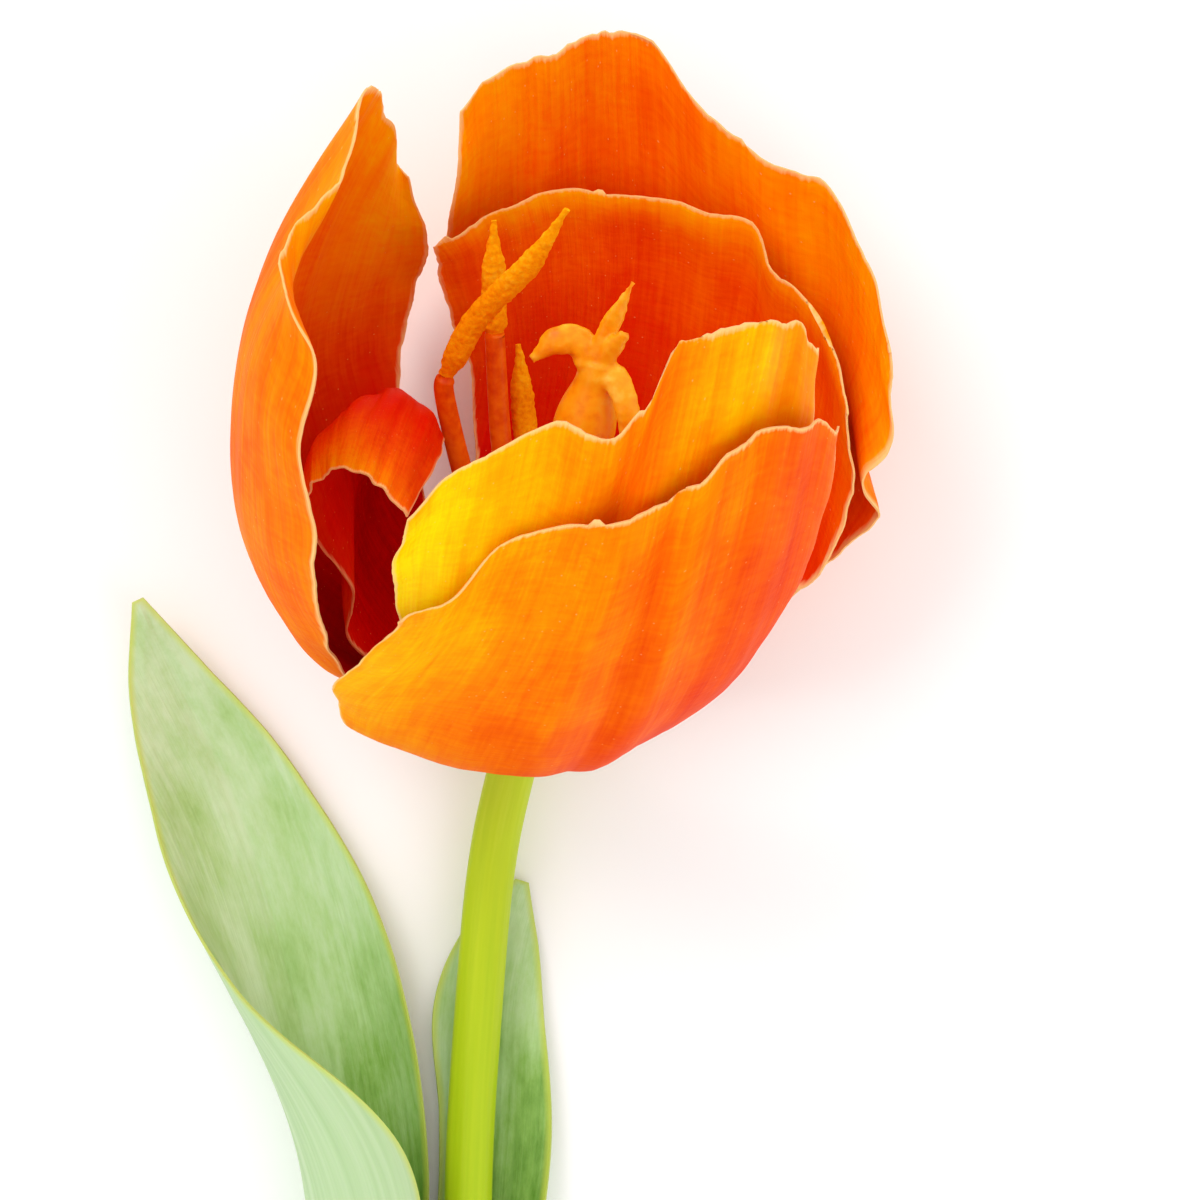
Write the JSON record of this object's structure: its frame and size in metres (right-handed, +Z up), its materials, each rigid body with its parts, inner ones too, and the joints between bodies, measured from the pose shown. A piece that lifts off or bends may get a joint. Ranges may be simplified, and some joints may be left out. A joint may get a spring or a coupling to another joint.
{
  "type": "cut tulip",
  "caption": "Cut tulip lying on its back: open orange bloom of overlapping petals with stamens and pistil, green stem and clasping leaves.",
  "frame": {"origin": "centre of the bounding box's underside, on the surface the flower lies on", "axes": "+Y from the stem's cut end towards the bloom, +Z up from the surface, +X to the right seen from above"},
  "size_m": [0.087, 0.2735, 0.0825],
  "materials": {
    "petal": "soft satin petal, yellow to red-orange",
    "leaf": "waxy grey-green leaf blade",
    "stem": "smooth waxy yellow-green stem",
    "filament": "smooth orange filament",
    "anther": "matt pollen-covered anther",
    "pistil": "smooth amber ovary with velvety stigma"
  },
  "bodies": {
    "root": {"tepal_outer_front": "petal", "tepal_inner_front": "petal", "tepal_outer_back": "petal", "tepal_inner_back": "petal", "tepal_outer_left": "petal", "tepal_inner_left": "petal", "leaf_left": "leaf", "leaf_right": "leaf", "filament_1": "filament", "filament_2": "filament", "filament_3": "filament", "filament_4": "filament", "filament_5": "filament", "filament_6": "filament", "anther_1": "anther", "anther_2": "anther", "anther_3": "anther", "anther_4": "anther", "anther_5": "anther", "anther_6": "anther", "stem": "stem", "pistil": "pistil"}
  },
  "joints": []
}
